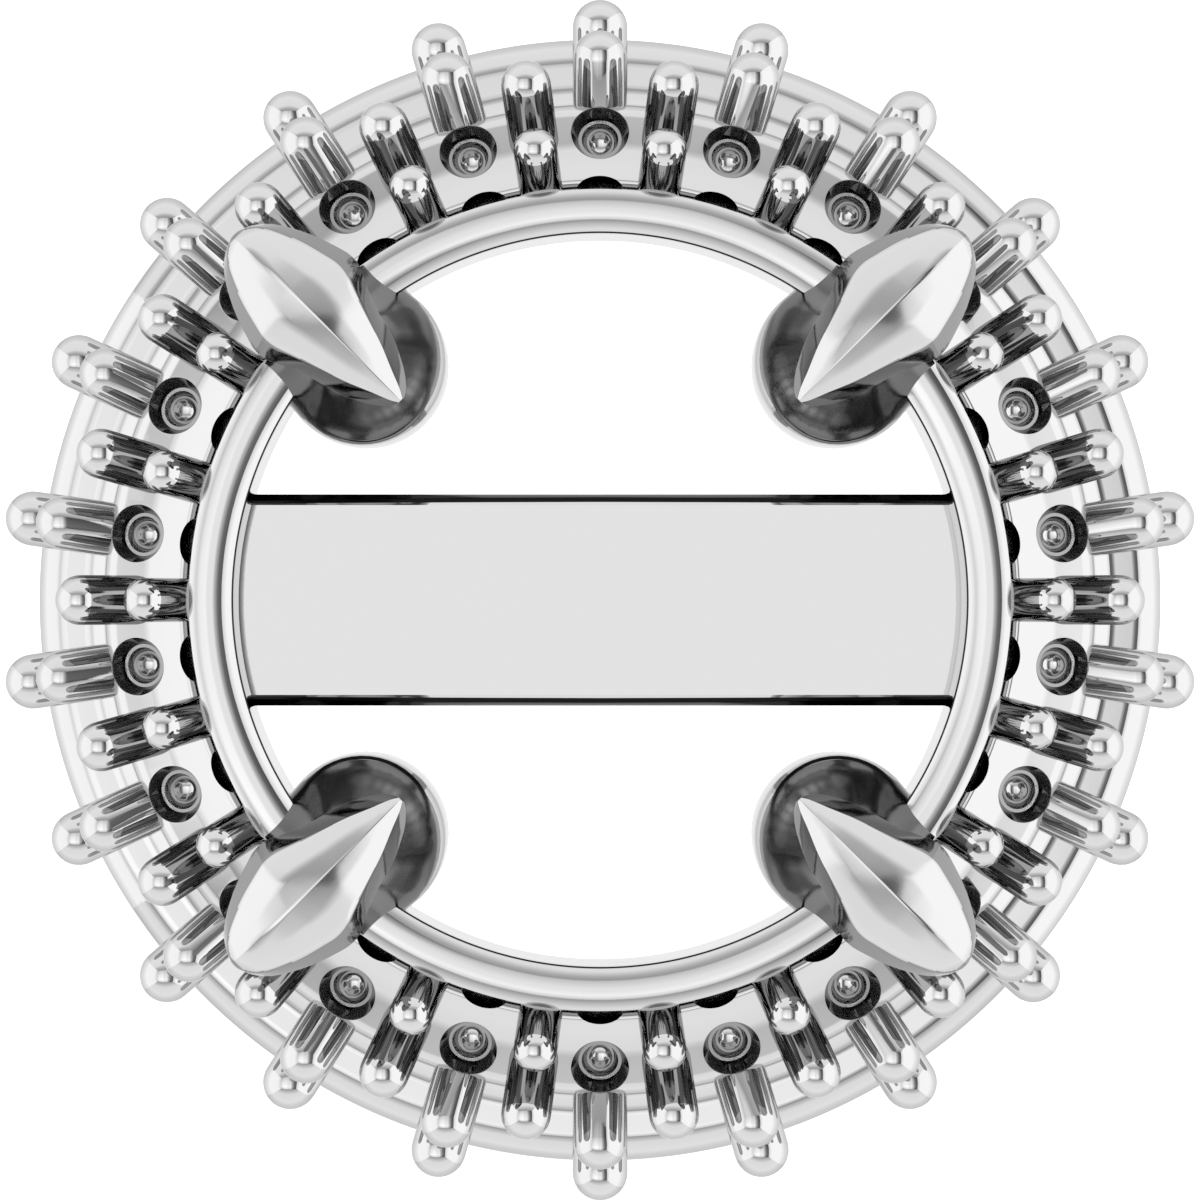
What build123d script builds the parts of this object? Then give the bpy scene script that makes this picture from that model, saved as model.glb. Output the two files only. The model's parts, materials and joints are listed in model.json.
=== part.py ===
from build123d import *
from collections import namedtuple
from math import asin, atan2, cos, degrees, hypot, radians, sin
import os

# Earring setting for a round centre stone inside two rows of small round stones.
# It is drawn face up about the Z axis, with the top of the stone rail at height zero,
# and is then laid down as the unworn stud lies: on the flange's rim and the tip of its post.
# All lengths are in millimetres and all angles in degrees.

# Stations round the halo, each with one seat on the face and one on the skirt
seat_count = 22
first_station = 90

# Centre ring, with a rounded rail along its top
rail_radius = 3.61
rail_width = 0.385
rail_crown_inset = 0.17
rail_inner_drop = 0.066
rail_outer_drop = 0.036
ring_height = 1.12
ring_back_run = 0.12
ring_back_rise = 0.30

# Halo face: a sloped crest with a rounded inner edge, a cove, a flat and a rounded lip
halo_gap = 0.03
crest_drop = 0.143
crest_lean = 39.0
crest_length = 0.25
crest_round = 0.042
cove_radius = 0.60
flat_lean = 14.0
flat_length = 0.24
lip_radius = 0.151

# Steep skirt under the lip, and the hollow behind it
skirt_lean = 84.2
skirt_length = 1.30
skirt_wall = 0.45
back_height = 1.50
back_slope_run = 0.20

# Base flange with a rounded rim, which a second cove joins to the skirt
foot_cove_radius = 0.28
ledge_width = 0.184
flange_thickness = 0.30
flange_round = 0.265

# Seats on the flat, which lean outwards: a tapered mouth, a ledge and a round-bottomed bore
seat_place = 0.084
seat_lean = 21.5
seat_mouth_radius = 0.259
seat_ledge_radius = 0.193
seat_bore_radius = 0.163
seat_ledge_depth = 0.12
seat_bore_depth = 0.45
seat_clear_height = 0.10

# Seats on the skirt, half a station round from the ones on the face
skirt_seat_radius = 0.20
skirt_seat_depth = 0.30
skirt_seat_place = 0.62

# Tapered scallops in the crest's inner edge, which open a row of small eyes beside the rail
scallop_radius = 0.44
scallop_bite = 0.122
scallop_depth = 0.69

# Four rows of small domed prongs, two on the half stations and two on the stations
ProngRow = namedtuple("ProngRow", "radius lean height root half_step")
crest_row = ProngRow(radius=0.194, lean=40.0, height=0.415, root=0.12, half_step=True)
flat_row = ProngRow(radius=0.220, lean=56.0, height=0.508, root=0.22, half_step=True)
upper_skirt_row = ProngRow(radius=0.240, lean=68.6, height=0.447, root=0.18, half_step=False)
lower_skirt_row = ProngRow(radius=0.253, lean=68.6, height=0.774, root=0.15, half_step=False)

# Foot of each row, down the slope that it stands on
crest_row_place = 0.080
flat_row_place = 0.095
upper_row_place = 0.172
lower_row_place = 1.284

# Clearance between the two castings, and round the post in its socket
casting_clearance = 0.02
post_clearance = 0.015

# Four claws, drawn with X outwards from the outer edge of the rail
claw_count = 4
first_claw = 45

# Column of a claw: sections as shares of its rise, its depth and its half width
column_inset = 0.10
column_depth = 1.23
column_half_width = 0.70
column_top = 1.45
ColumnSection = namedtuple("ColumnSection", "rise nose nose_half back_half")
column_sections = (
    ColumnSection(rise=0.00, nose=1.00, nose_half=0.71, back_half=1.00),
    ColumnSection(rise=0.32, nose=1.00, nose_half=0.69, back_half=0.97),
    ColumnSection(rise=1.00, nose=0.83, nose_half=0.23, back_half=0.67),
)

# Cap of a claw: a leaf that points inwards, with a ridge along its top
claw_tip_reach = 1.27
claw_length = 2.00
claw_height = 1.70
claw_half_width = 0.56
claw_throat_height = 0.42
claw_ridge_slope = 26.0

# Side of the cap, as shares of its length from the tip and of its height
claw_tip = (0.00, 0.79)
claw_crown = (0.405, 1.00)
claw_brow = (0.79, 0.92)
claw_cheek = (1.00, 0.65)
claw_jaw = (0.91, 0.33)
claw_throat = (0.63, 0.00)
claw_neck = (0.43, 0.00)

# Edge of the leaf seen from above, as shares of its length and of its half width
leaf_front = (0.26, 0.56)
leaf_widest = (0.54, 1.00)
leaf_back = (0.765, 0.77)
leaf_heel = (0.92, 0.43)

# Bridge bar across the ring, and the plain ear post under its middle
bridge_width = 1.89
bridge_drop = 0.58
bridge_thickness = 0.45
bridge_edge_round = 0.07
bridge_bite = 0.20
post_radius = 0.425
post_length = 11.0
post_socket_depth = 0.20
post_tip_round = 0.20


def normal_of(lean):
    """Outward and upward parts of a normal that leans away from the axis by an angle."""
    return sin(radians(lean)), cos(radians(lean))


def down_slope(start, lean, distance):
    """Section point at a distance down a slope whose normal leans outwards by an angle."""
    out, up = normal_of(lean)
    return start[0] + distance * up, start[1] - distance * out


def off_slope(start, lean, distance):
    """Section point at a distance along a normal that leans outwards by an angle."""
    out, up = normal_of(lean)
    return start[0] + distance * out, start[1] + distance * up


def skirt_inner(height):
    """Section point on the inner side of the skirt's wall, at a height."""
    start = off_slope(skirt_top, skirt_lean, -skirt_wall)
    out, up = normal_of(skirt_lean)
    return start[0] + (start[1] - height) * up / out, height


def cap_point(share):
    """Point in the side view of a claw's cap, from its shares of length and height."""
    return (
        share[0] * claw_length - claw_tip_reach,
        share[1] * claw_height + claw_throat_height,
    )


def leaf_point(share, side=1):
    """Point on the edge of a claw's leaf, from its shares of length and half width."""
    return share[0] * claw_length - claw_tip_reach, side * share[1] * claw_half_width


def stand_prongs(row, foot):
    """Ring of domed prongs, one at each station, leaning outwards from a foot circle."""
    turn = station_step / 2 if row.half_step else 0
    with PolarLocations(foot[0], seat_count, start_angle=first_station + turn):
        with Locations(Location((0, 0, foot[1]), (0, row.lean, 0))):
            with Locations((0, 0, -row.root)):
                Cylinder(
                    row.radius,
                    row.root + row.height,
                    align=(Align.CENTER, Align.CENTER, Align.MIN),
                )
            with Locations((0, 0, row.height)):
                Sphere(row.radius)


# Section of the halo, worked out from its sizes
station_step = 360 / seat_count
crest_inner = (rail_radius + halo_gap, -crest_drop)
crest_outer = down_slope(crest_inner, crest_lean, crest_length)
cove_centre = off_slope(crest_outer, crest_lean, cove_radius)
flat_inner = off_slope(cove_centre, flat_lean, -cove_radius)
flat_outer = down_slope(flat_inner, flat_lean, flat_length)
lip_centre = off_slope(flat_outer, flat_lean, -lip_radius)
skirt_top = off_slope(lip_centre, skirt_lean, lip_radius)
skirt_foot = down_slope(skirt_top, skirt_lean, skirt_length)
foot_cove_centre = off_slope(skirt_foot, skirt_lean, foot_cove_radius)
ledge_height = foot_cove_centre[1] - foot_cove_radius
rim_centre = (foot_cove_centre[0] + ledge_width, ledge_height - flange_round)
flange_radius = rim_centre[0] + flange_round
flange_back = ledge_height - flange_thickness

with BuildPart() as seat_cutter:
    with BuildSketch(Plane.XZ):
        with BuildLine():
            Polyline(
                (0, -seat_bore_depth - seat_bore_radius),
                (0, seat_clear_height),
                (seat_mouth_radius, seat_clear_height),
                (seat_mouth_radius, 0),
                (seat_ledge_radius, -seat_ledge_depth),
                (seat_bore_radius, -seat_ledge_depth),
                (seat_bore_radius, -seat_bore_depth),
            )
            CenterArc((0, -seat_bore_depth), seat_bore_radius, 0, -90)
        make_face()
    revolve(axis=Axis.Z)

with BuildPart() as halo_frame:
    with BuildSketch(Plane.XZ) as halo_section:
        with BuildLine():
            Polyline((crest_inner[0], -ring_height), crest_inner, crest_outer)
            CenterArc(cove_centre, cove_radius, 270 - crest_lean, crest_lean - flat_lean)
            Line(flat_inner, flat_outer)
            CenterArc(lip_centre, lip_radius, 90 - flat_lean, flat_lean - skirt_lean)
            Line(skirt_top, skirt_foot)
            CenterArc(foot_cove_centre, foot_cove_radius, 270 - skirt_lean, skirt_lean)
            Line((foot_cove_centre[0], ledge_height), (rim_centre[0], ledge_height))
            CenterArc(rim_centre, flange_round, 90, -90)
            Polyline(
                (flange_radius, rim_centre[1]),
                (flange_radius, flange_back),
                skirt_inner(flange_back),
                skirt_inner(-back_height),
                (crest_inner[0] + back_slope_run, -back_height),
                (crest_inner[0], -ring_height),
            )
        make_face()
        fillet(halo_section.vertices().sort_by(Axis.Y)[-1], crest_round)
    revolve(axis=Axis.Z)

    # Four rows of prongs
    lower_foot = down_slope(skirt_top, skirt_lean, lower_row_place)
    stand_prongs(crest_row, down_slope(crest_inner, crest_lean, crest_row_place))
    stand_prongs(flat_row, down_slope(flat_inner, flat_lean, flat_row_place))
    stand_prongs(upper_skirt_row, down_slope(skirt_top, skirt_lean, upper_row_place))
    stand_prongs(lower_skirt_row, lower_foot)

    # Leaning seats on the face
    seat_mouth = down_slope(flat_inner, flat_lean, seat_place)
    with PolarLocations(seat_mouth[0], seat_count, start_angle=first_station):
        with Locations(Location((0, 0, seat_mouth[1]), (0, seat_lean, 0))):
            add(seat_cutter.part, mode=Mode.SUBTRACT)

    # Round seats on the skirt
    skirt_seat = down_slope(skirt_top, skirt_lean, skirt_seat_place)
    skirt_turn = first_station + station_step / 2
    with PolarLocations(skirt_seat[0], seat_count, start_angle=skirt_turn):
        with Locations(Location((0, 0, skirt_seat[1]), (0, skirt_lean, 0))):
            Cylinder(skirt_seat_radius, 2 * skirt_seat_depth, mode=Mode.SUBTRACT)

    # Scallops in the crest, and room for the centre ring
    scallop_pitch = crest_inner[0] + scallop_bite - scallop_radius
    with PolarLocations(scallop_pitch, seat_count, start_angle=first_station):
        with Locations((0, 0, -crest_drop - scallop_depth)):
            Cone(
                scallop_radius - scallop_bite,
                scallop_radius + scallop_bite,
                2 * scallop_depth,
                align=(Align.CENTER, Align.CENTER, Align.MIN),
                mode=Mode.SUBTRACT,
            )
    Cylinder(rail_radius + casting_clearance, 2 * ring_height, mode=Mode.SUBTRACT)

with BuildPart() as column:
    # Rounded tongue that narrows upwards
    for section in column_sections:
        height = section.rise * (column_top + ring_height) - ring_height
        nose = -column_inset - section.nose * column_depth
        nose_half = section.nose_half * column_half_width
        back_half = section.back_half * column_half_width
        with BuildSketch(Plane.XY.offset(height)):
            with BuildLine():
                Polyline(
                    (nose + nose_half, nose_half),
                    (-column_inset, back_half),
                    (-column_inset, -back_half),
                    (nose + nose_half, -nose_half),
                )
                ThreePointArc(
                    (nose + nose_half, -nose_half),
                    (nose, 0),
                    (nose + nose_half, nose_half),
                )
            make_face()
    loft()

with BuildPart() as cap:
    # The side view is drawn out both ways to a ridge, then cut to the leaf seen from above
    with BuildSketch(Plane.XZ):
        with BuildLine():
            ThreePointArc(cap_point(claw_tip), cap_point(claw_crown), cap_point(claw_brow))
            ThreePointArc(cap_point(claw_brow), cap_point(claw_cheek), cap_point(claw_jaw))
            Polyline(
                cap_point(claw_jaw),
                cap_point(claw_throat),
                cap_point(claw_neck),
                cap_point(claw_tip),
            )
        make_face()
    extrude(amount=claw_half_width, both=True, taper=claw_ridge_slope)
    with BuildSketch():
        with BuildLine():
            leaf_tip = (-claw_tip_reach, 0)
            leaf_end = (claw_length - claw_tip_reach, 0)
            for side in (1, -1):
                widest = leaf_point(leaf_widest, side)
                ThreePointArc(leaf_tip, leaf_point(leaf_front, side), widest)
                ThreePointArc(widest, leaf_point(leaf_back, side), leaf_point(leaf_heel, side))
            ThreePointArc(leaf_point(leaf_heel), leaf_end, leaf_point(leaf_heel, -1))
        make_face()
    extrude(amount=claw_throat_height + claw_height, mode=Mode.INTERSECT)

with BuildPart() as claw_head:
    with BuildSketch(Plane.XZ):
        with BuildLine():
            ring_bore = rail_radius - rail_width
            Polyline(
                (ring_bore, -rail_inner_drop),
                (ring_bore, ring_back_rise - ring_height),
                (ring_bore + ring_back_run, -ring_height),
                (rail_radius, -ring_height),
                (rail_radius, -rail_outer_drop),
            )
            ThreePointArc(
                (rail_radius, -rail_outer_drop),
                (rail_radius - rail_crown_inset, 0),
                (ring_bore, -rail_inner_drop),
            )
        make_face()
    revolve(axis=Axis.Z)

    # Bridge bar with softened upper edges
    bridge_half = ring_bore + bridge_bite
    with BuildSketch(Plane.YZ.offset(-bridge_half)) as bridge_section:
        with Locations((0, -bridge_drop)):
            Rectangle(
                bridge_width,
                bridge_thickness,
                align=(Align.CENTER, Align.MAX),
            )
        top_corners = bridge_section.vertices().group_by(Axis.Y)[-1]
        fillet(top_corners, bridge_edge_round)
    extrude(amount=2 * bridge_half)

    # Four claws, and the socket for the post
    with PolarLocations(rail_radius, claw_count, start_angle=first_claw):
        add(column.part)
        add(cap.part)
    socket_top = post_socket_depth - bridge_drop - bridge_thickness
    with Locations((0, 0, socket_top)):
        Cylinder(
            post_radius + post_clearance,
            2 * post_socket_depth,
            align=(Align.CENTER, Align.CENTER, Align.MAX),
            mode=Mode.SUBTRACT,
        )

with BuildPart() as ear_post:
    with BuildSketch(Plane.XY.offset(socket_top - post_clearance)):
        Circle(post_radius)
    extrude(amount=-post_length)
    fillet(ear_post.edges().sort_by(Axis.Z)[0], post_tip_round)

# Resting place: the axis leans until the flange's rim and the post's rounded tip touch
post_end = socket_top - post_clearance - post_length + post_tip_round
reach = flange_back - post_end
drop = flange_radius - (post_radius - post_tip_round)
lean_back = degrees(atan2(drop, reach) - asin(post_tip_round / hypot(reach, drop)))
resting_turn = Location((0, 0, 0), (90 - lean_back, 0, 0))
pieces = (halo_frame, claw_head, ear_post)
for piece in pieces:
    piece.part.move(resting_turn)
box = Compound([piece.part for piece in pieces]).bounding_box()
resting_shift = Location((-box.center().X, -box.center().Y, -box.min.Z))
for piece in pieces:
    piece.part.move(resting_shift)

halo_frame.part.label = "halo_frame"
claw_head.part.label = "claw_head"
ear_post.part.label = "ear_post"

os.makedirs("parts", exist_ok=True)
export_step(halo_frame.part, "parts/halo_frame.step")
export_step(claw_head.part, "parts/claw_head.step")
export_step(ear_post.part, "parts/ear_post.step")
print("axis above level, degrees:", round(lean_back, 3))
print("size:", box.size)
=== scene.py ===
import json
import logging
import math
from collections.abc import Callable
from dataclasses import astuple, dataclass
from enum import Enum
from functools import cache
from typing import TypeVar

import bmesh
import bpy
from bmesh.types import BMesh
from bpy.types import Material, Mesh, MeshPolygon, Node, NodeSocket, NodeTree, Object
from mathutils import Matrix, Vector


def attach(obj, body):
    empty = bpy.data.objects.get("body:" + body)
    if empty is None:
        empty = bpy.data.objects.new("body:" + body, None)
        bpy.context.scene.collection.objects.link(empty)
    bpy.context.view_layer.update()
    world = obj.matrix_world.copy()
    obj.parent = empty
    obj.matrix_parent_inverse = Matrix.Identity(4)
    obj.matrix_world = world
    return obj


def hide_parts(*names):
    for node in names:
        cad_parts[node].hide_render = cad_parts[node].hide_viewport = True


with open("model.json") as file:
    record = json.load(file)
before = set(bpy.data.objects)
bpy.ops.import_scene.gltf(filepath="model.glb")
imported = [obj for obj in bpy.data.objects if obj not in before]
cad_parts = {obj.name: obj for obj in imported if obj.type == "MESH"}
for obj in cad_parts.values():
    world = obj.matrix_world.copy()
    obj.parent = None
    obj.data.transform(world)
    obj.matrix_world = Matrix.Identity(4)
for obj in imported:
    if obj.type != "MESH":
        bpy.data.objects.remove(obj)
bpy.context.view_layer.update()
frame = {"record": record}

# The unset round halo stud setting as it lies unworn, in cast, polished white gold.
# Shapes are drawn face up in millimetres about the setting's own axis, with the top of
# the stone rail at height zero, and are then laid into the frame's place and turn.

log = logging.getLogger("earring_setting")
Point = tuple[float, float]
Loop = list[tuple[float, float, float]]
Section = TypeVar("Section")

MM = 0.001
STATION_COUNT = 22
FIRST_STATION = 90.0
STATION_STEP = 360 / STATION_COUNT

# Nearly all values of a noise texture lie between these
NOISE_LOW = 0.3
NOISE_HIGH = 0.7


class Row(Enum):
    """The four rows of small prongs, from the rail outwards."""

    CREST = "crest"
    FLAT = "flat"
    UPPER_SKIRT = "upper_skirt"
    LOWER_SKIRT = "lower_skirt"


class Polish(Enum):
    """How a surface of the casting was finished, and which surfaces get a darker colour as painted shade.
    """

    MIRROR = "mirror"
    # Partly a softer finish from the barrel, partly a greyer colour as painted shade
    BUFFED = "buffed"
    TUMBLED_AND_SHADED = "tumbled_and_shaded"
    # Painted shade, not a finish: a darker grey for shaded stems and flanks
    GREY_SHADE = "grey_shade"
    # Painted shade, not a finish: near-black colour for the shade along edges
    BLACK_SHADE = "black_shade"


def to_linear(hex_colour: str) -> tuple[float, float, float, float]:
    """Turn an sRGB hex colour to linear light.

    Args:
        hex_colour: Six hex digits, such as "e6e6e6".

    Returns:
        Red, green, blue and alpha in linear light.
    """
    shares = [int(hex_colour[i : i + 2], 16) / 255 for i in (0, 2, 4)]
    light = [s / 12.92 if s <= 0.04045 else ((s + 0.055) / 1.055) ** 2.4 for s in shares]
    return (light[0], light[1], light[2], 1.0)


def add_node(
    tree: NodeTree, kind: str, links: dict[str | int, object] | None = None, **settings: object
) -> Node:
    """Add a shader node with its links, values and settings.

    Args:
        tree: The node tree that gets the node.
        kind: The node's type name after "ShaderNode".
        links: Inputs by name or place, each a socket to link or a value.
        settings: Properties of the node by name.

    Returns:
        The new node.
    """
    node = tree.nodes.new(f"ShaderNode{kind}")
    for name, value in settings.items():
        setattr(node, name, value)
    for place, value in (links or {}).items():
        if isinstance(value, NodeSocket):
            tree.links.new(value, node.inputs[place])
        else:
            node.inputs[place].default_value = value
    return node


def arc_points(centre: Point, radius: float, start: float, end: float, steps: int) -> list[Point]:
    """Points along an arc of a section.

    Args:
        centre: Centre of the arc.
        radius: Its radius.
        start: Angle of the first point in degrees, from the first axis.
        end: Angle of the last point in degrees.
        steps: How many equal steps the arc has.

    Returns:
        The points, ends included.
    """
    turns = [math.radians(start + (end - start) * i / steps) for i in range(steps + 1)]
    return [(centre[0] + radius * math.cos(t), centre[1] + radius * math.sin(t)) for t in turns]


def circle_through(a: Vector, b: Vector, c: Vector) -> tuple[Vector, float]:
    """Circle through three points of a section.

    Args:
        a: First point.
        b: Second point.
        c: Third point.

    Returns:
        Its centre and its radius.
    """
    first = b - a
    second = c - a
    cross = 2 * (first.x * second.y - first.y * second.x)
    x = (second.y * first.length_squared - first.y * second.length_squared) / cross
    y = (first.x * second.length_squared - second.x * first.length_squared) / cross
    return a + Vector((x, y)), math.hypot(x, y)


def lean_parts(lean: float) -> Point:
    """Outward and upward parts of a direction that leans from the axis by an angle in degrees."""
    return math.sin(math.radians(lean)), math.cos(math.radians(lean))


def down_slope(start: Point, lean: float, distance: float) -> Point:
    """Section point at a distance down a slope whose normal leans outwards by an angle."""
    out, up = lean_parts(lean)
    return start[0] + distance * up, start[1] - distance * out


def off_slope(start: Point, lean: float, distance: float) -> Point:
    """Section point at a distance along a normal that leans outwards by an angle."""
    out, up = lean_parts(lean)
    return start[0] + distance * out, start[1] + distance * up


def rounded_loop(corners: Loop, steps: int) -> list[Point]:
    """Closed loop with its corners rounded.

    Args:
        corners: Both coordinates and the rounding of each corner.
        steps: How many steps each rounding has.

    Returns:
        The points of the loop.
    """
    most_cut = 0.45
    points = [Vector(corner[:2]) for corner in corners]
    loop = []
    for i, (_, _, rounding) in enumerate(corners):
        here = points[i]
        back = points[i - 1] - here
        on = points[(i + 1) % len(points)] - here
        cut = rounding / math.tan(back.angle(on) / 2)
        cut = min(cut, most_cut * back.length, most_cut * on.length)
        start = here + back.normalized() * cut
        end = here + on.normalized() * cut
        for k in range(steps + 1):
            share = k / steps
            loop.append(start.lerp(here, share).lerp(here.lerp(end, share), share)[:])
    return loop


def smooth_rows(rows: tuple[Section, ...], steps: int) -> list[Section]:
    """Fill in a table of sections with smooth values between its rows.

    Args:
        rows: Sections of one kind, with the place as the first field.
        steps: How many steps there are from each row to the next.

    Returns:
        Sections of the same kind, the given ones included.
    """
    table = [astuple(row) for row in rows]
    slopes = []
    for i in range(len(table)):
        before, after = table[max(i - 1, 0)], table[min(i + 1, len(table) - 1)]
        slopes.append([(b - a) / (after[0] - before[0]) for a, b in zip(before, after)])
    kind = type(rows[0])
    filled = []
    for start, end, leave, arrive in zip(table, table[1:], slopes, slopes[1:]):
        gap = end[0] - start[0]
        for k in range(steps):
            t = k / steps
            values = (
                (2 * t**3 - 3 * t**2 + 1) * a
                + (t**3 - 2 * t**2 + t) * gap * m
                + (3 * t**2 - 2 * t**3) * b
                + (t**3 - t**2) * gap * n
                for a, b, m, n in zip(start, end, leave, arrive)
            )
            filled.append(kind(*values))
    filled.append(rows[-1])
    return filled


def turned(angle: float) -> Matrix:
    """Turn about the setting's axis by an angle in degrees."""
    return Matrix.Rotation(math.radians(angle), 4, "Z")


def leaning(foot: Point, lean: float) -> Matrix:
    """Place beside the X axis, at a section point, that leans outwards by an angle in degrees."""
    return Matrix.Translation((foot[0], 0, foot[1])) @ Matrix.Rotation(math.radians(lean), 4, "Y")


def first_station(half_step: bool) -> float:
    """Angle in degrees of the first station, of the seats or of the places between them."""
    return FIRST_STATION + (STATION_STEP / 2 if half_step else 0)


def at_stations(stand: Matrix, half_step: bool) -> list[Matrix]:
    """Turn a place beside the X axis to every station."""
    first = first_station(half_step)
    return [turned(first + i * STATION_STEP) @ stand for i in range(STATION_COUNT)]


def to_first_station(point: Vector, half_step: bool) -> Vector:
    """Turn a point about the axis by whole stations, to beside the X axis.

    Args:
        point: A point of the setting in millimetres.
        half_step: Whether the stations are the ones between the seats.

    Returns:
        The turned point.
    """
    first = first_station(half_step)
    angle = math.degrees(math.atan2(point.y, point.x)) - first
    return turned(-first - round(angle / STATION_STEP) * STATION_STEP) @ point


def spun(profile: list[Point], steps: int) -> BMesh:
    """Spin a section in full round the Z axis.

    Args:
        profile: Points of the section as radius and height. One that starts on the axis also
            ends there, and any other is a closed loop that stays clear of it.
        steps: How many steps the full turn has.

    Returns:
        A closed mesh with its faces outwards.
    """
    bm = bmesh.new()
    verts = [bm.verts.new((r, 0, h)) for r, h in profile]
    pairs = list(zip(verts, verts[1:]))
    if profile[0][0] > 0:
        pairs.append((verts[-1], verts[0]))
    edges = [bm.edges.new(pair) for pair in pairs]
    bmesh.ops.spin(
        bm,
        geom=verts + edges,
        cent=(0, 0, 0),
        axis=(0, 0, 1),
        angle=math.tau,
        steps=steps,
        use_merge=True,
    )
    bmesh.ops.remove_doubles(bm, verts=bm.verts, dist=1e-6)
    bmesh.ops.recalc_face_normals(bm, faces=bm.faces)
    return bm


def bridged(loops: list[Loop]) -> BMesh:
    """Bridge a row of closed loops into one closed skin.

    Args:
        loops: Loops of points, each with as many points as the next.

    Returns:
        The skin with both ends filled and its faces outwards.
    """
    bm = bmesh.new()
    rings = []
    for loop in loops:
        verts = [bm.verts.new(point) for point in loop]
        rings.append([bm.edges.new((a, b)) for a, b in zip(verts, verts[1:] + verts[:1])])
    for ring, following in zip(rings, rings[1:]):
        bmesh.ops.bridge_loops(bm, edges=ring + following)
    for ring in (rings[0], rings[-1]):
        bmesh.ops.contextual_create(bm, geom=ring)
    bmesh.ops.recalc_face_normals(bm, faces=bm.faces)
    return bm


def as_mesh(bm: BMesh, name: str) -> Mesh:
    """Write a bmesh to a new mesh and free it.

    Args:
        bm: The bmesh, which is freed.
        name: Name of the mesh.

    Returns:
        The new mesh.
    """
    mesh = bpy.data.meshes.new(name)
    bm.to_mesh(mesh)
    bm.free()
    return mesh


def cylinder(radius: float, half_height: float, sides: int) -> Mesh:
    """Upright cylinder about the origin, to cut with."""
    profile = [(0, -half_height), (radius, -half_height), (radius, half_height), (0, half_height)]
    return as_mesh(spun(profile, sides), "cylinder")


def repeated(mesh: Mesh, places: list[Matrix], name: str) -> Mesh:
    """Join copies of a mesh at several places and drop the original.

    Args:
        mesh: The mesh to copy.
        places: Where each copy goes.
        name: Name of the joined mesh.

    Returns:
        The joined mesh.
    """
    bm = bmesh.new()
    for place in places:
        copy = mesh.copy()
        copy.transform(place)
        bm.from_mesh(copy)
        bpy.data.meshes.remove(copy)
    bpy.data.meshes.remove(mesh)
    return as_mesh(bm, name)


def cut_away(mesh: Mesh, cutter: Mesh) -> Mesh:
    """Cut one closed mesh out of another.

    Args:
        mesh: The mesh to cut, which is dropped.
        cutter: The mesh that is cut out, which is kept.

    Returns:
        What is left of the first mesh.
    """
    body = bpy.data.objects.new("cut_body", mesh)
    tool = bpy.data.objects.new("cut_tool", cutter)
    for thing in (body, tool):
        bpy.context.scene.collection.objects.link(thing)
    modifier = body.modifiers.new("cut", "BOOLEAN")
    modifier.operation = "DIFFERENCE"
    modifier.solver = "MANIFOLD"
    modifier.object = tool
    graph = bpy.context.evaluated_depsgraph_get()
    left = bpy.data.meshes.new_from_object(body.evaluated_get(graph))
    for thing in (body, tool):
        bpy.data.objects.remove(thing)
    bpy.data.meshes.remove(mesh)
    return left


def marked(mesh: Mesh, belongs: Callable[[MeshPolygon], bool]) -> Mesh:
    """Number the materials of a mesh's faces by a test.

    Args:
        mesh: The mesh, whose faces get the second number where the test passes, or else the first.
        belongs: The test of a face.

    Returns:
        The same mesh.
    """
    for face in mesh.polygons:
        face.material_index = int(belongs(face))
    return mesh


@dataclass(frozen=True)
class FacePlace:
    """Where the setting's face lies in the frame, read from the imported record.

    Args:
        origin: Middle of the rail's top, in metres.
        outward: The way that the face looks.
    """

    origin: Vector
    outward: Vector

    @classmethod
    def from_record(cls, record: dict) -> "FacePlace":
        """Read the place of the centre stone's seat from the record's mounts."""
        seat = next(m for m in record["mounts"] if m["name"] == "centre_stone_seat")
        return cls(Vector(seat["pos_m"]), Vector(seat["axis"]).normalized())

    def turn(self) -> Matrix:
        """Turn from the upright setting to the lying one."""
        return Matrix.Rotation(math.atan2(-self.outward.y, self.outward.z), 4, "X")

    def matrix(self) -> Matrix:
        """Place and turn of the setting, from millimetres to metres."""
        return Matrix.Translation(self.origin) @ self.turn() @ Matrix.Scale(MM, 4)


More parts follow.
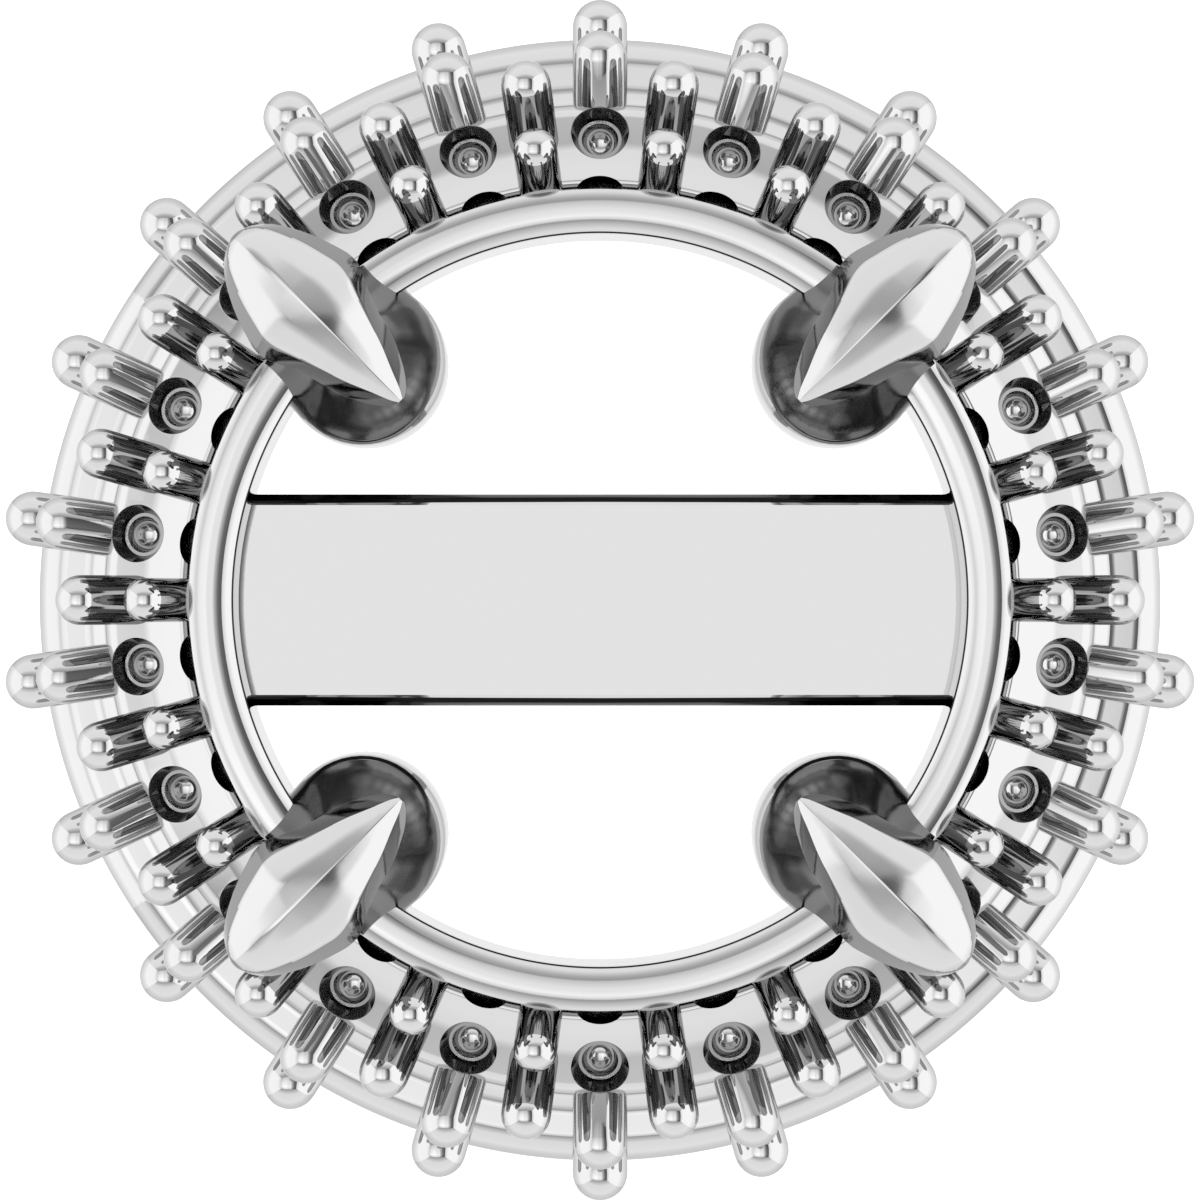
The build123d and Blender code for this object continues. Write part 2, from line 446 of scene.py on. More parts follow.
@dataclass(frozen=True)
class WhiteGold:
    """Cast white gold with a rhodium plating: a hard, neutral white mirror.

    The eye sees the room and the next prong in it, lighter where the look is glancing. For
    that the base is kept under rhodium's own, and the studio's mirrored room is as much
    brighter. Polishing by hand leaves faint waves and hair lines, each with a distance, a
    depth and the share of that depth that shows. Real hair lines are some thousandths of a
    millimetre wide and are drawn coarser here, so that they show.
    """

    polish: Polish
    colour: str
    roughness: float
    roughness_spread: float
    wave_mm: float = 0.9
    wave_depth_mm: float = 0.05
    wave_strength: float = 0.02
    hair_line_mm: float = 0.05
    hair_line_depth_mm: float = 0.01
    hair_line_strength: float = 0.01

    def material(self) -> Material:
        """Build the material from its settings.

        Returns:
            The node material.
        """
        material = bpy.data.materials.new(f"{self.polish.value}_white_gold")
        material.use_nodes = True
        tree = material.node_tree
        tree.nodes.clear()
        place = add_node(tree, "TexCoord").outputs["Object"]
        cloud = add_node(
            tree, "TexNoise", {"Vector": place, "Scale": 1 / (self.wave_mm * MM), "Detail": 3.0}
        ).outputs["Fac"]
        gloss = add_node(
            tree,
            "MapRange",
            {
                "Value": cloud,
                "From Min": NOISE_LOW,
                "From Max": NOISE_HIGH,
                "To Min": self.roughness - self.roughness_spread,
                "To Max": self.roughness + self.roughness_spread,
            },
        ).outputs["Result"]
        lines = add_node(
            tree, "TexNoise", {"Vector": place, "Scale": 1 / (self.hair_line_mm * MM), "Detail": 2.0}
        ).outputs["Fac"]
        wave_depth = self.wave_depth_mm * MM
        waves = add_node(
            tree, "Bump", {"Height": cloud, "Strength": self.wave_strength, "Distance": wave_depth}
        ).outputs["Normal"]
        relief = add_node(
            tree,
            "Bump",
            {
                "Height": lines,
                "Strength": self.hair_line_strength,
                "Distance": self.hair_line_depth_mm * MM,
                "Normal": waves,
            },
        ).outputs["Normal"]
        colour = to_linear(self.colour)
        shader = add_node(
            tree,
            "BsdfPrincipled",
            {"Base Color": colour, "Metallic": 1.0, "Roughness": gloss, "Normal": relief},
        ).outputs["BSDF"]
        add_node(tree, "OutputMaterial", {"Surface": shader})
        return material


# Polished on the wheel: a sharp mirror on the rail, the halo, the prong tips and the bar
MIRROR_GOLD = WhiteGold(Polish.MIRROR, colour="a9a9a9", roughness=0.035, roughness_spread=0.015)
# The leaves are buffed by hand, which leaves their mirror a little soft
BUFFED_GOLD = WhiteGold(Polish.BUFFED, colour="a9a9a9", roughness=0.11, roughness_spread=0.02)
# Seats and columns under the leaves: softer from the tumbling barrel, greyer as painted shade
TUMBLED_AND_SHADED_GOLD = WhiteGold(Polish.TUMBLED_AND_SHADED, colour="7c7c7c", roughness=0.17, roughness_spread=0.03)
# Painted shade: darker colour on the inner rows' stems under their domes and on the leaves' flanks
GREY_SHADE_GOLD = WhiteGold(Polish.GREY_SHADE, colour="787878", roughness=0.06, roughness_spread=0.02)
# Painted shade: near-black colour on the bar's long edges and the chamfer under the rail's inner edge
BLACK_SHADE_GOLD = WhiteGold(Polish.BLACK_SHADE, colour="262626", roughness=0.10, roughness_spread=0.02)


@cache
def finish_material(finish: WhiteGold) -> Material:
    """Material of a finish, built once."""
    return finish.material()


@dataclass
class Piece:
    """A sub-assembly that stands for one CAD node.

    Args:
        name: Name of the visible piece.
        node: The CAD node that it stands for.
        place: Where the setting's face lies.
        crease_angle: Angle in degrees from which an edge looks sharp.
    """

    name: str
    node: str
    place: FacePlace
    crease_angle: float = 30.0

    def show(self, parts: list[tuple[Mesh, tuple[WhiteGold, ...]]]) -> Object:
        """Join the parts into one piece and dress it.

        Args:
            parts: Meshes in millimetres in the upright setting, which are dropped, each with
                its finishes in the order of its material numbers.

        Returns:
            The piece, riding on the frame.
        """
        kinds = list(dict.fromkeys(finish for _, finishes in parts for finish in finishes))
        bm = bmesh.new()
        for mesh, finishes in parts:
            known = len(bm.faces)
            bm.from_mesh(mesh)
            bm.faces.ensure_lookup_table()
            for face in bm.faces[known:]:
                face.material_index = kinds.index(finishes[face.material_index])
                face.smooth = True
            bpy.data.meshes.remove(mesh)
        bm.transform(self.place.matrix())
        body = as_mesh(bm, self.name)
        body.set_sharp_from_angle(angle=math.radians(self.crease_angle))
        for finish in kinds:
            body.materials.append(finish_material(finish))
        piece = bpy.data.objects.new(self.name, body)
        bpy.context.scene.collection.objects.link(piece)
        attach(piece, "root")
        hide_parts(self.node)
        log.info("%s: %d faces", self.name, len(body.polygons))
        return piece


@dataclass(frozen=True)
class Prong:
    """A small round prong with a domed tip, one of a row round the halo.

    Its height is from the foot, a section point, to the dome, and its root reaches in under
    the foot. A row with a half step stands between the stations of the face's seats.
    """

    radius: float
    lean: float
    height: float
    root: float
    foot: Point
    half_step: bool
    sides: int = 36
    dome_steps: int = 8

    def mesh(self) -> Mesh:
        """One prong that stands on the origin.

        Returns:
            The prong's mesh.
        """
        dome = arc_points((0, self.height), self.radius, 0, 90, self.dome_steps)
        stem = [(0, -self.root), (self.radius, -self.root)]
        top = (0, self.height + self.radius)
        return as_mesh(spun(stem + dome[:-1] + [top], self.sides), "prong")

    def stand(self) -> Matrix:
        """Place and lean of the row's prong beside the X axis."""
        return leaning(self.foot, self.lean)

    def row(self) -> Mesh:
        """The whole row in one mesh."""
        return repeated(self.mesh(), at_stations(self.stand(), self.half_step), "prong_row")

    def is_stem(self, face: MeshPolygon) -> bool:
        """Whether a face of the row lies on a stem, below its dome."""
        upright = self.stand().inverted() @ to_first_station(face.center, self.half_step)
        return upright.z < self.height


@dataclass
class Halo(Piece):
    """The coved halo: crest, cove, flat, lip, skirt and base flange, with seats and prongs.

    Leans are in degrees from the setting's axis. A row's place is its distance down the
    slope that it stands on.
    """

    crest_inner: Point = (3.64, -0.143)
    crest_lean: float = 39.0
    crest_length: float = 0.25
    crest_round: float = 0.055
    crest_steps: int = 12
    cove_radius: float = 0.60
    cove_steps: int = 10
    flat_lean: float = 14.0
    flat_length: float = 0.24
    lip_radius: float = 0.151
    lip_steps: int = 14
    skirt_lean: float = 84.2
    skirt_length: float = 1.30
    skirt_wall: float = 0.45
    inner_wall_foot: float = -1.12
    back_height: float = -1.50
    back_slope_run: float = 0.20
    foot_cove_radius: float = 0.28
    foot_cove_steps: int = 18
    ledge_width: float = 0.152
    ledge_rise: float = 0.006
    flange_thickness: float = 0.30
    flange_round: float = 0.30
    flange_steps: int = 16
    round_steps: int = 440
    seat_place: float = 0.084
    seat_lean: float = 21.5
    seat_mouth_radius: float = 0.259
    seat_ledge_radius: float = 0.193
    seat_bore_radius: float = 0.163
    seat_ledge_depth: float = 0.12
    seat_bore_depth: float = 0.17
    seat_clear_height: float = 0.10
    seat_skin: float = 0.02
    seat_sides: int = 56
    seat_floor_steps: int = 10
    skirt_seat_radius: float = 0.20
    skirt_seat_depth: float = 0.30
    skirt_seat_place: float = 0.62
    skirt_seat_sides: int = 40
    scallop_radius: float = 0.27
    scallop_bite: float = 0.122
    scallop_depth: float = 0.69
    scallop_sides: int = 96
    crest_row_place: float = 0.080
    flat_row_place: float = 0.095
    upper_row_place: float = 0.149
    lower_row_place: float = 1.244
    rail_room_radius: float = 3.63
    rail_room_height: float = 2.0
    rail_room_sides: int = 256

    def crest_outer(self) -> Point:
        """Foot of the crest's slope, where the cove starts."""
        return down_slope(self.crest_inner, self.crest_lean, self.crest_length)

    def cove_centre(self) -> Point:
        """Centre of the cove's arc, in front of the face."""
        return off_slope(self.crest_outer(), self.crest_lean, self.cove_radius)

    def flat_inner(self) -> Point:
        """Upper end of the flat that carries the seats."""
        return off_slope(self.cove_centre(), self.flat_lean, -self.cove_radius)

    def lip_centre(self) -> Point:
        """Centre of the lip's rounding."""
        flat_outer = down_slope(self.flat_inner(), self.flat_lean, self.flat_length)
        return off_slope(flat_outer, self.flat_lean, -self.lip_radius)

    def down_skirt(self, distance: float, inset: float = 0.0) -> Point:
        """Point down the skirt from its top, set in under the surface."""
        top = off_slope(self.lip_centre(), self.skirt_lean, self.lip_radius - inset)
        return down_slope(top, self.skirt_lean, distance)

    def skirt_inner(self, height: float) -> Point:
        """Point on the inner side of the skirt's wall.

        Args:
            height: Height of the point.

        Returns:
            The section point.
        """
        start = self.down_skirt(0, self.skirt_wall)
        out, up = lean_parts(self.skirt_lean)
        return start[0] + (start[1] - height) * up / out, height

    def section(self) -> list[Point]:
        """Section of the halo without its prongs and seats.

        Returns:
            The points of the closed section, as radius and height.
        """
        inner, top = self.crest_inner
        out, up = lean_parts(self.crest_lean)
        crest_centre = (inner + self.crest_round, top - self.crest_round * (out + 1) / up)
        foot = self.down_skirt(self.skirt_length)
        foot_centre = off_slope(foot, self.skirt_lean, self.foot_cove_radius)
        ledge = foot_centre[1] - self.foot_cove_radius
        rim_centre = (foot_centre[0] + self.ledge_width, ledge + self.ledge_rise - self.flange_round)
        back = ledge - self.flange_thickness
        lean, flat, steep = 270 - self.crest_lean, 270 - self.flat_lean, 270 - self.skirt_lean
        return [
            (inner, self.inner_wall_foot),
            *arc_points(crest_centre, self.crest_round, 180, lean - 180, self.crest_steps),
            *arc_points(self.cove_centre(), self.cove_radius, lean, flat, self.cove_steps),
            *arc_points(self.lip_centre(), self.lip_radius, flat - 180, steep - 180, self.lip_steps),
            *arc_points(foot_centre, self.foot_cove_radius, steep, 270, self.foot_cove_steps),
            *arc_points(rim_centre, self.flange_round, 90, 0, self.flange_steps),
            (rim_centre[0] + self.flange_round, back),
            self.skirt_inner(back),
            self.skirt_inner(self.back_height),
            (inner + self.back_slope_run, self.back_height),
        ]

    def seat_stand(self) -> Matrix:
        """Place and lean of the face's seat beside the X axis."""
        mouth = down_slope(self.flat_inner(), self.flat_lean, self.seat_place)
        return leaning(mouth, self.seat_lean)

    def in_seat(self, face: MeshPolygon) -> bool:
        """Whether a face of the body lies on the tapered mouth or the ledge of a seat.

        Args:
            face: A face of the halo's body.

        Returns:
            Whether the face lies there.
        """
        upright = self.seat_stand().inverted() @ to_first_station(face.center, False)
        reach = math.hypot(upright.x, upright.y)
        return self.seat_bore_radius < reach < self.seat_mouth_radius and upright.z < -self.seat_skin

    def face_seats(self) -> Mesh:
        """Leaning seats of the face, each with a tapered mouth, a ledge and a round bore.

        Returns:
            The seats to cut out, in one mesh.
        """
        foot = -self.seat_bore_depth
        floor = arc_points((0, foot), self.seat_bore_radius, -90, 0, self.seat_floor_steps)
        profile = [
            (0, foot - self.seat_bore_radius),
            *floor[1:],
            (self.seat_bore_radius, -self.seat_ledge_depth),
            (self.seat_ledge_radius, -self.seat_ledge_depth),
            (self.seat_mouth_radius, 0),
            (self.seat_mouth_radius, self.seat_clear_height),
            (0, self.seat_clear_height),
        ]
        seat = as_mesh(spun(profile, self.seat_sides), "seat")
        return repeated(seat, at_stations(self.seat_stand(), False), "face_seats")

    def skirt_seats(self) -> Mesh:
        """Round seats of the skirt, half a station round from the ones on the face.

        Returns:
            The seats to cut out, in one mesh.
        """
        seat = cylinder(self.skirt_seat_radius, self.skirt_seat_depth, self.skirt_seat_sides)
        stand = leaning(self.down_skirt(self.skirt_seat_place), self.skirt_lean)
        return repeated(seat, at_stations(stand, True), "skirt_seats")

    def scallops(self) -> Mesh:
        """Tapered scallops that open a row of small eyes beside the rail.

        Returns:
            The scallops to cut out, in one mesh.
        """
        inner, height = self.crest_inner
        foot = height - self.scallop_depth
        top = height + self.scallop_depth
        narrow = self.scallop_radius - self.scallop_bite
        wide = self.scallop_radius + self.scallop_bite
        profile = [(0, foot), (narrow, foot), (wide, top), (0, top)]
        scallop = as_mesh(spun(profile, self.scallop_sides), "scallop")
        stand = leaning((inner + self.scallop_bite - self.scallop_radius, 0), 0)
        return repeated(scallop, at_stations(stand, False), "scallops")

    def rows(self) -> dict[Row, Prong]:
        """The four rows of prongs.

        Returns:
            The prong of each row.
        """
        crest = down_slope(self.crest_inner, self.crest_lean, self.crest_row_place)
        flat = down_slope(self.flat_inner(), self.flat_lean, self.flat_row_place)
        upper = self.down_skirt(self.upper_row_place)
        lower = self.down_skirt(self.lower_row_place)
        return {
            Row.CREST: Prong(0.194, 40.0, 0.415, 0.12, crest, half_step=True),
            Row.FLAT: Prong(0.220, 56.0, 0.508, 0.22, flat, half_step=True),
            Row.UPPER_SKIRT: Prong(0.240, 71.5, 0.441, 0.18, upper, half_step=False),
            Row.LOWER_SKIRT: Prong(0.253, 71.5, 0.764, 0.15, lower, half_step=False),
        }

    def build(self) -> Object:
        """Build and dress the halo.

        Returns:
            The halo's piece.
        """
        body = as_mesh(spun(self.section(), self.round_steps), "halo_body")
        seats = self.face_seats()
        for cutter in (seats, self.skirt_seats(), self.scallops()):
            body = cut_away(body, cutter)
        prongs = self.rows()
        rows = {row: prong.row() for row, prong in prongs.items()}
        rail_room = cylinder(self.rail_room_radius, self.rail_room_height, self.rail_room_sides)
        rows[Row.CREST] = cut_away(rows[Row.CREST], rail_room)
        rows[Row.UPPER_SKIRT] = cut_away(rows[Row.UPPER_SKIRT], seats)
        for row in (Row.CREST, Row.FLAT):
            rows[row] = marked(rows[row], prongs[row].is_stem)
        # The seats' mouths and ledges get the greyer colour as painted shade
        parts = [(marked(body, self.in_seat), (MIRROR_GOLD, TUMBLED_AND_SHADED_GOLD))]
        # The stems of the crest and flat rows get the darker grey as painted shade
        parts += [(row, (MIRROR_GOLD, GREY_SHADE_GOLD)) for row in rows.values()]
        return self.show(parts)


@dataclass(frozen=True)
class LeafSection:
    """A section across a claw's leaf.

    Args:
        place: Share of the leaf's length from its tip.
        half_width: Half the width at the lower edge.
        top_half: Half the width of the domed top.
        ridge: Height of the ridge.
        wall: Height of the flank from the brow to the lower edge.
        keel: Height of the underside's middle.
        ridge_round: How softly the ridge is rounded.
        brow_round: How softly the brow between top and flank is rounded.
    """

    place: float
    half_width: float
    top_half: float
    ridge: float
    wall: float
    keel: float
    ridge_round: float
    brow_round: float


@dataclass(frozen=True)
class ColumnSection:
    """A section across a claw's column.

    Args:
        height: Its height.
        nose: Reach of the rounded nose from the column's back.
        nose_half: Radius of the nose.
        back_half: Half the width at the back.
    """

    height: float
    nose: float
    nose_half: float
    back_half: float


@dataclass(frozen=True)
class EdgeStrip:
    """A strip along both of the bar's softened long edges.

    Args:
        end_width: Its width at the ends of the bar.
        middle_width: Its width in the middle of the bar.
        outer_drop: How far its outer side lies under the bar's top.
        inner_drop: How far its inner side lies under the bar's top.
    """

    end_width: float
    middle_width: float
    outer_drop: float
    inner_drop: float


@dataclass
class ClawHead(Piece):
    """The centre ring with its rail, the bridge bar and four leaf claws on rounded columns."""

    rail_radius: float = 3.61
    rail_width: float = 0.385
    rail_inner_drop: float = 0.066
    rail_outer_drop: float = 0.036
    rail_crown_inset: float = 0.17
    rail_steps: int = 24
    ring_height: float = 1.12
    ring_back_run: float = 0.12
    ring_back_rise: float = 0.30
    edge_line: float = 0.016
    round_steps: int = 360
    claw_count: int = 4
    first_claw: float = 45.0
    tip_reach: float = 1.27
    leaf_length: float = 1.96
    ridge_slope: float = 18.0
    shoulder_slope: float = 30.0
    shoulder_share: float = 0.5
    shoulder_round: float = 0.45
    edge_round: float = 0.014
    flank_upness: float = 0.60
    corner_steps: int = 6
    section_steps: int = 5
    column_back: float = -0.06
    column_dome: float = -0.20
    nose_steps: int = 28
    bridge_width: float = 1.89
    bridge_drop: float = 0.58
    bridge_thickness: float = 0.45
    bridge_bite: float = 0.20
    light_strip: EdgeStrip = EdgeStrip(0.098, 0.098, 0.060, 0.004)
    # This strip gets the near-black colour as painted shade
    black_shade_strip: EdgeStrip = EdgeStrip(0.062, 0.028, 0.055, -0.003)
    strip_curve: float = 1.5
    strip_foot_rise: float = 0.01
    strip_places: tuple[float, ...] = (-1.0, -0.9, -0.6, -0.3, 0.0, 0.3, 0.6, 0.9, 1.0)
    leaf: tuple[LeafSection, ...] = (
        LeafSection(0.000, 0.040, 0.022, 1.823, 0.05, 1.738, 0.010, 0.005),
        LeafSection(0.020, 0.095, 0.048, 1.843, 0.12, 1.618, 0.015, 0.008),
        LeafSection(0.060, 0.165, 0.083, 1.871, 0.19, 1.518, 0.020, 0.010),
        LeafSection(0.108, 0.226, 0.120, 1.901, 0.23, 1.418, 0.020, 0.012),
        LeafSection(0.212, 0.322, 0.205, 1.953, 0.26, 1.248, 0.025, 0.030),
        LeafSection(0.372, 0.412, 0.310, 1.998, 0.27, 1.048, 0.030, 0.100),
        LeafSection(0.459, 0.482, 0.365, 2.014, 0.27, 0.948, 0.035, 0.170),
        LeafSection(0.540, 0.556, 0.415, 2.021, 0.27, 0.848, 0.040, 0.220),
        LeafSection(0.600, 0.565, 0.425, 2.021, 0.27, 0.798, 0.050, 0.240),
        LeafSection(0.662, 0.535, 0.400, 2.015, 0.26, 0.798, 0.070, 0.240),
        LeafSection(0.770, 0.460, 0.345, 1.988, 0.24, 0.898, 0.130, 0.220),
        LeafSection(0.870, 0.360, 0.270, 1.938, 0.21, 1.048, 0.250, 0.180),
        LeafSection(0.935, 0.268, 0.200, 1.883, 0.18, 1.218, 0.300, 0.120),
        LeafSection(0.982, 0.160, 0.115, 1.803, 0.15, 1.398, 0.300, 0.060),
        LeafSection(1.000, 0.060, 0.040, 1.738, 0.10, 1.538, 0.100, 0.015),
    )
    column: tuple[ColumnSection, ...] = (
        ColumnSection(-1.12, 1.280, 0.715, 0.65),
        ColumnSection(-1.09, 1.310, 0.745, 0.68),
        ColumnSection(-0.35, 1.310, 0.745, 0.68),
        ColumnSection(-0.22, 1.280, 0.725, 0.67),
        ColumnSection(-0.08, 1.190, 0.665, 0.63),
        ColumnSection(0.12, 1.010, 0.540, 0.55),
        ColumnSection(0.36, 0.820, 0.410, 0.47),
        ColumnSection(0.60, 0.710, 0.330, 0.41),
        ColumnSection(1.10, 0.650, 0.280, 0.36),
        ColumnSection(1.60, 0.630, 0.260, 0.34),
    )

    def bore_radius(self) -> float:
        """Radius of the ring's bore."""
        return self.rail_radius - self.rail_width

    def bar_reach(self) -> float:
        """Half of the bar's length, ends that are sunk into the ring included."""
        return self.bore_radius() + self.bridge_bite

    def ring(self) -> Mesh:
        """The centre ring with its rounded rail and the fine chamfer inside it.

        Returns:
            The ring's mesh.
        """
        bore = self.bore_radius()
        crown = Vector((self.rail_radius - self.rail_crown_inset, 0))
        inner = Vector((bore, -self.rail_inner_drop))
        outer = Vector((self.rail_radius, -self.rail_outer_drop))
        centre, radius = circle_through(outer, crown, inner)
        start = math.degrees(math.atan2(outer.y - centre.y, outer.x - centre.x))
        end = math.degrees(math.atan2(inner.y - centre.y, inner.x - centre.x))
        rail = arc_points((centre.x, centre.y), radius, start, end, self.rail_steps)
        profile = [
            (bore, self.ring_back_rise - self.ring_height),
            (bore + self.ring_back_run, -self.ring_height),
            (self.rail_radius, -self.ring_height),
            *rail[:-1],
            (bore, inner.y - self.edge_line / 2),
        ]
        return as_mesh(spun(profile, self.round_steps), "ring")

    def on_edge_line(self, face: MeshPolygon) -> bool:
        """Whether a face of the ring is part of the fine chamfer inside the rail."""
        return 0 < math.hypot(face.center.x, face.center.y) - self.bore_radius() < self.edge_line

    def bar(self) -> Mesh:
        """The plain bar across the ring, between its softened edges.

        Returns:
            The bar's mesh.
        """
        width = self.bridge_width - 2 * self.light_strip.end_width
        bm = bmesh.new()
        bmesh.ops.create_cube(bm, size=1.0)
        size = (2 * self.bar_reach(), width, self.bridge_thickness)
        bmesh.ops.scale(bm, vec=size, verts=bm.verts)
        middle = -self.bridge_drop - self.bridge_thickness / 2
        bmesh.ops.translate(bm, vec=(0, 0, middle), verts=bm.verts)
        return as_mesh(bm, "bar")

    def bar_edge(self, strip: EdgeStrip, side: int) -> Mesh:
        """A strip of the bar's softened edge on one side.

        Args:
            strip: The strip.
            side: 1 or -1 for the two long edges.

        Returns:
            The strip as a closed prism.
        """
        outer = self.bridge_width / 2
        top = -self.bridge_drop
        foot = top - self.bridge_thickness + self.strip_foot_rise
        loops = []
        for place in self.strip_places:
            flare = (strip.end_width - strip.middle_width) * abs(place) ** self.strip_curve
            inner = outer - strip.middle_width - flare
            corners = (
                (outer, top - strip.outer_drop),
                (inner, top - strip.inner_drop),
                (inner, foot),
                (outer, foot),
            )
            loops.append([(place * self.bar_reach(), side * y, z) for y, z in corners])
        return as_mesh(bridged(loops), "bar_edge")

    def leaf_loop(self, section: LeafSection) -> Loop:
        """Closed loop across the leaf at one section: ridge, shoulder, brow, edge and keel.

        Args:
            section: The section.

        Returns:
            The points of the loop.
        """
        x = section.place * self.leaf_length - self.tip_reach
        shoulder = section.top_half * self.shoulder_share
        high = section.ridge - shoulder * math.tan(math.radians(self.ridge_slope))
        fall = (section.top_half - shoulder) * math.tan(math.radians(self.shoulder_slope))
        brow = high - fall
        flank = [
            (shoulder, high, self.shoulder_round),
            (section.top_half, brow, section.brow_round),
            (section.half_width, brow - section.wall, self.edge_round),
        ]
        corners = [
            (0.0, section.ridge, section.ridge_round),
            *flank,
            (0.0, section.keel, self.edge_round),
            *((-y, z, rounding) for y, z, rounding in reversed(flank)),
        ]
        return [(x, y, z) for y, z in rounded_loop(corners, self.corner_steps)]

    def leaf_cap(self) -> Mesh:
        """The leaf-shaped cap of a claw, with a ridge and a crisp lower edge."""
        sections = smooth_rows(self.leaf, self.section_steps)
        return as_mesh(bridged([self.leaf_loop(section) for section in sections]), "leaf")

    def on_leaf_flank(self, face: MeshPolygon) -> bool:
        """Whether a face of a leaf is part of its steep flanks or its underside."""
        return face.normal.z < self.flank_upness

    def column_loop(self, section: ColumnSection) -> Loop:
        """Closed loop round the column at one height.

        Args:
            section: The section.

        Returns:
            The points of the loop.
        """
        back = self.column_back
        centre = (back - section.nose + section.nose_half, 0)
        nose = arc_points(centre, section.nose_half, 90, 270, self.nose_steps)
        loop = [(back, section.back_half), *nose, (back, -section.back_half)]
        return [(x, y, section.height) for x, y in loop]

    def claw_column(self) -> Mesh:
        """The thumb-shaped column that carries a leaf."""
        sections = smooth_rows(self.column, self.section_steps)
        return as_mesh(bridged([self.column_loop(section) for section in sections]), "column")

    def on_column_dome(self, face: MeshPolygon) -> bool:
        """Whether a face of a column lies on its domed front."""
        return face.center.z > self.column_dome

    def build(self) -> Object:
        """Build and dress the head.

        Returns:
            The head's piece.
        """
        out = Matrix.Translation((self.rail_radius, 0, 0))
        step = 360 / self.claw_count
        places = [turned(self.first_claw + i * step) @ out for i in range(self.claw_count)]
        columns = repeated(self.claw_column(), places, "columns")
        leaves = repeated(self.leaf_cap(), places, "leaves")
        parts = [
            # The fine chamfer inside the rail gets the near-black colour as painted shade
            (marked(self.ring(), self.on_edge_line), (MIRROR_GOLD, BLACK_SHADE_GOLD)),
            # The columns' upper fronts under the leaves get the greyer colour as painted shade
            (marked(columns, self.on_column_dome), (MIRROR_GOLD, TUMBLED_AND_SHADED_GOLD)),
            # The leaves' flanks and undersides get the darker grey as painted shade
            (marked(leaves, self.on_leaf_flank), (BUFFED_GOLD, GREY_SHADE_GOLD)),
            (self.bar(), (MIRROR_GOLD,)),
        ]
        # The narrower strip along each long edge gets the near-black colour as painted shade
        for strip, finish in ((self.light_strip, MIRROR_GOLD), (self.black_shade_strip, BLACK_SHADE_GOLD)):
            parts += [(self.bar_edge(strip, side), (finish,)) for side in (1, -1)]
        return self.show(parts)


@dataclass
class EarPost(Piece):
    """The plain ear post in its socket under the bar."""

    radius: float = 0.425
    length: float = 11.0
    tip_round: float = 0.20
    tip_steps: int = 8
    top: float = -0.845
    sides: int = 64

    def build(self) -> Object:
        """Build and dress the post.

        Returns:
            The post's piece.
        """
        foot = self.top - self.length
        tip_centre = (self.radius - self.tip_round, foot + self.tip_round)
        tip = arc_points(tip_centre, self.tip_round, 270, 360, self.tip_steps)
        profile = [(0, foot), *tip, (self.radius, self.top), (0, self.top)]
        return self.show([(as_mesh(spun(profile, self.sides), "post"), (MIRROR_GOLD,))])


@dataclass(frozen=True)
class Tone:
    """Brightness of the studio at an angle from the face's axis."""

    angle: float
    colour: str


BACK_WALL = "e3e3e3"


